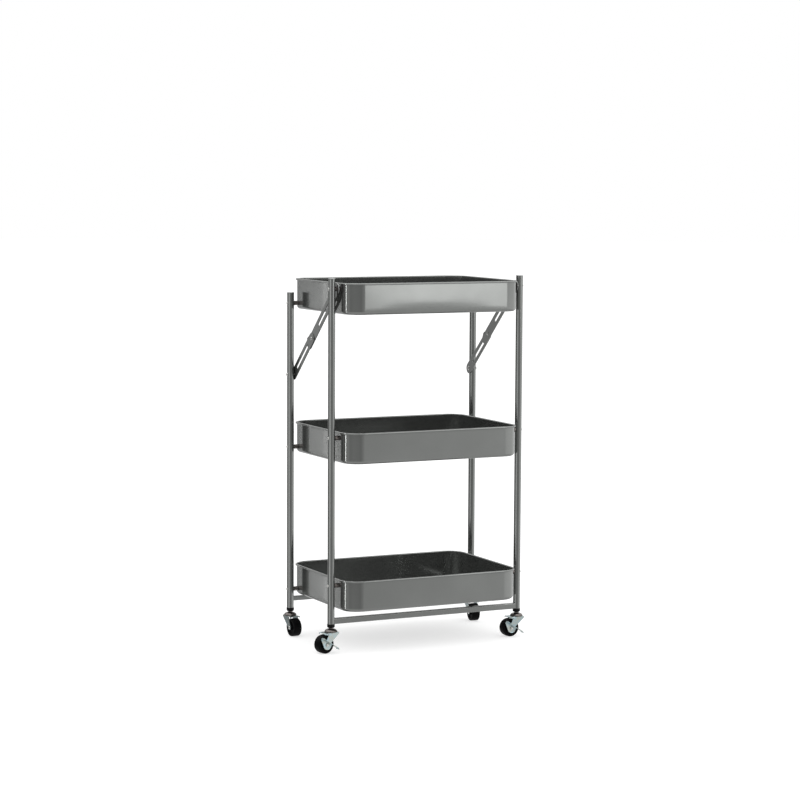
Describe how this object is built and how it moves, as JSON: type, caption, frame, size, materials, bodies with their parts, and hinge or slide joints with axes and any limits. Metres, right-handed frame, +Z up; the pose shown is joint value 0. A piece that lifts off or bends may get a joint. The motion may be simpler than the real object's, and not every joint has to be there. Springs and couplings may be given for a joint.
{
  "type": "rolling pantry cart",
  "caption": "Folding rolling pantry cart with deep rounded trays between slim tube frames, slotted locking stays and swivel casters.",
  "frame": {"origin": "on the floor under the middle of the cart's bounding box", "axes": "+X to the right across the cart, +Y from the tall front posts to the rear posts, +Z up"},
  "size_m": [0.4956, 0.3, 0.7853],
  "materials": {
    "painted_steel": "satin grey powder coat on formed steel",
    "cap_finish": "lighter satin grey end caps",
    "zinc_plate": "bright blue-passivated zinc plate on pressed steel",
    "bright_rivet": "bright plated steel pins and rivets",
    "black_plastic": "black moulded plastic",
    "black_wheel": "black moulded tread and hub"
  },
  "bodies": {
    "front_frame": {"bottom_tray_front_left_pin": "bright_rivet", "bottom_tray_front_right_pin": "bright_rivet", "front_crossbar": "painted_steel", "front_left_cap": "cap_finish", "front_left_caster_race": "zinc_plate", "front_left_foot_plug": "black_plastic", "front_left_post": "painted_steel", "front_right_cap": "cap_finish", "front_right_caster_race": "zinc_plate", "front_right_foot_plug": "black_plastic", "front_right_post": "painted_steel", "middle_tray_front_left_pin": "bright_rivet", "middle_tray_front_right_pin": "bright_rivet", "top_tray_front_left_pin": "bright_rivet", "top_tray_front_right_pin": "bright_rivet"},
    "top_tray": {"top_tray": "painted_steel"},
    "rear_frame": {"bottom_tray_rear_left_pin": "bright_rivet", "bottom_tray_rear_right_pin": "bright_rivet", "middle_tray_rear_left_pin": "bright_rivet", "middle_tray_rear_right_pin": "bright_rivet", "rear_crossbar": "painted_steel", "rear_left_cap": "cap_finish", "rear_left_caster_race": "zinc_plate", "rear_left_foot_plug": "black_plastic", "rear_left_post": "painted_steel", "rear_left_stay_rivet": "bright_rivet", "rear_right_cap": "cap_finish", "rear_right_caster_race": "zinc_plate", "rear_right_foot_plug": "black_plastic", "rear_right_post": "painted_steel", "rear_right_stay_rivet": "bright_rivet", "top_tray_rear_left_pin": "bright_rivet", "top_tray_rear_right_pin": "bright_rivet"},
    "middle_tray": {"middle_tray": "painted_steel"},
    "bottom_tray": {"bottom_tray": "painted_steel"},
    "left_stay_upper": {"left_stay_knee_rivet": "bright_rivet", "left_stay_upper_bar": "painted_steel"},
    "left_stay_lower": {"left_stay_foot_rivet": "bright_rivet", "left_stay_lower_bar": "painted_steel"},
    "right_stay_upper": {"right_stay_knee_rivet": "bright_rivet", "right_stay_upper_bar": "painted_steel"},
    "right_stay_lower": {"right_stay_foot_rivet": "bright_rivet", "right_stay_lower_bar": "painted_steel"},
    "front_left_fork": {"front_left_caster_axle": "zinc_plate", "front_left_caster_fork": "zinc_plate"},
    "front_left_brake": {"front_left_caster_brake": "zinc_plate"},
    "front_left_wheel": {"front_left_caster_wheel": "black_wheel"},
    "front_right_fork": {"front_right_caster_axle": "zinc_plate", "front_right_caster_fork": "zinc_plate"},
    "front_right_brake": {"front_right_caster_brake": "zinc_plate"},
    "front_right_wheel": {"front_right_caster_wheel": "black_wheel"},
    "rear_left_fork": {"rear_left_caster_axle": "zinc_plate", "rear_left_caster_fork": "zinc_plate"},
    "rear_left_wheel": {"rear_left_caster_wheel": "black_wheel"},
    "rear_right_fork": {"rear_right_caster_axle": "zinc_plate", "rear_right_caster_fork": "zinc_plate"},
    "rear_right_wheel": {"rear_right_caster_wheel": "black_wheel"}
  },
  "joints": [
    {"name": "fold", "type": "hinge", "parent": "front_frame", "child": "top_tray", "pos_m": [0.01185, -0.1025, 0.763], "axis": [1, 0, 0], "range_deg": [0, 72]},
    {"name": "rear_frame_pivot", "type": "hinge", "parent": "top_tray", "child": "rear_frame", "pos_m": [0.01185, 0.1105, 0.723], "axis": [1, 0, 0], "range_deg": [-72.5, 0.5]},
    {"name": "middle_tray_pivot", "type": "hinge", "parent": "front_frame", "child": "middle_tray", "pos_m": [0.01185, -0.1025, 0.452], "axis": [1, 0, 0], "range_deg": [-0.5, 72.5]},
    {"name": "bottom_tray_pivot", "type": "hinge", "parent": "front_frame", "child": "bottom_tray", "pos_m": [0.01185, -0.1025, 0.141], "axis": [1, 0, 0], "range_deg": [-0.5, 72.5]},
    {"name": "left_stay_top", "type": "hinge", "parent": "front_frame", "child": "left_stay_upper", "pos_m": [0.01185, -0.1025, 0.763], "axis": [1, 0, 0], "range_deg": [-0.5, 110.49]},
    {"name": "left_stay_knee", "type": "hinge", "parent": "left_stay_upper", "child": "left_stay_lower", "pos_m": [0.01185, 0.01934, 0.65203], "axis": [1, 0, 0], "range_deg": [-138.63, 0.5]},
    {"name": "right_stay_top", "type": "hinge", "parent": "front_frame", "child": "right_stay_upper", "pos_m": [0.01185, -0.1025, 0.763], "axis": [1, 0, 0], "range_deg": [-0.5, 110.49]},
    {"name": "right_stay_knee", "type": "hinge", "parent": "right_stay_upper", "child": "right_stay_lower", "pos_m": [0.01185, 0.01934, 0.65203], "axis": [1, 0, 0], "range_deg": [-138.63, 0.5]},
    {"name": "front_left_swivel", "type": "hinge", "parent": "front_frame", "child": "front_left_fork", "pos_m": [-0.21015, -0.1025, 0.0437], "axis": [0, 0, 1], "continuous": true},
    {"name": "front_left_spin", "type": "hinge", "parent": "front_left_fork", "child": "front_left_wheel", "pos_m": [-0.22782, -0.10594, 0.0195], "axis": [0.1908, -0.9816, 0], "continuous": true},
    {"name": "front_left_brake_lever", "type": "hinge", "parent": "front_left_fork", "child": "front_left_brake", "pos_m": [-0.22782, -0.10594, 0.0195], "axis": [0.1908, -0.9816, 0], "range_deg": [0, 22]},
    {"name": "front_right_swivel", "type": "hinge", "parent": "front_frame", "child": "front_right_fork", "pos_m": [0.23385, -0.1025, 0.0437], "axis": [0, 0, 1], "continuous": true},
    {"name": "front_right_spin", "type": "hinge", "parent": "front_right_fork", "child": "front_right_wheel", "pos_m": [0.21585, -0.1025, 0.0195], "axis": [0, -1, 0], "continuous": true},
    {"name": "front_right_brake_lever", "type": "hinge", "parent": "front_right_fork", "child": "front_right_brake", "pos_m": [0.21585, -0.1025, 0.0195], "axis": [0, -1, 0], "range_deg": [0, 22]},
    {"name": "rear_left_swivel", "type": "hinge", "parent": "rear_frame", "child": "rear_left_fork", "pos_m": [-0.21015, 0.1105, 0.0437], "axis": [0, 0, 1], "continuous": true},
    {"name": "rear_left_spin", "type": "hinge", "parent": "rear_left_fork", "child": "rear_left_wheel", "pos_m": [-0.20889, 0.09254, 0.0195], "axis": [0.9976, 0.0698, 0], "continuous": true},
    {"name": "rear_right_swivel", "type": "hinge", "parent": "rear_frame", "child": "rear_right_fork", "pos_m": [0.23385, 0.1105, 0.0437], "axis": [0, 0, 1], "continuous": true},
    {"name": "rear_right_spin", "type": "hinge", "parent": "rear_right_fork", "child": "rear_right_wheel", "pos_m": [0.23166, 0.09263, 0.0195], "axis": [0.9925, -0.1219, 0], "continuous": true}
  ],
  "couplings": [
    {"joint": "rear_frame_pivot", "follows": "fold", "ratio": -1},
    {"joint": "middle_tray_pivot", "follows": "fold", "ratio": 1},
    {"joint": "bottom_tray_pivot", "follows": "fold", "ratio": 1},
    {"joint": "left_stay_top", "follows": "fold", "ratio": 1.5276},
    {"joint": "left_stay_knee", "follows": "fold", "ratio": -1.9185},
    {"joint": "right_stay_top", "follows": "fold", "ratio": 1.5276},
    {"joint": "right_stay_knee", "follows": "fold", "ratio": -1.9185}
  ]
}
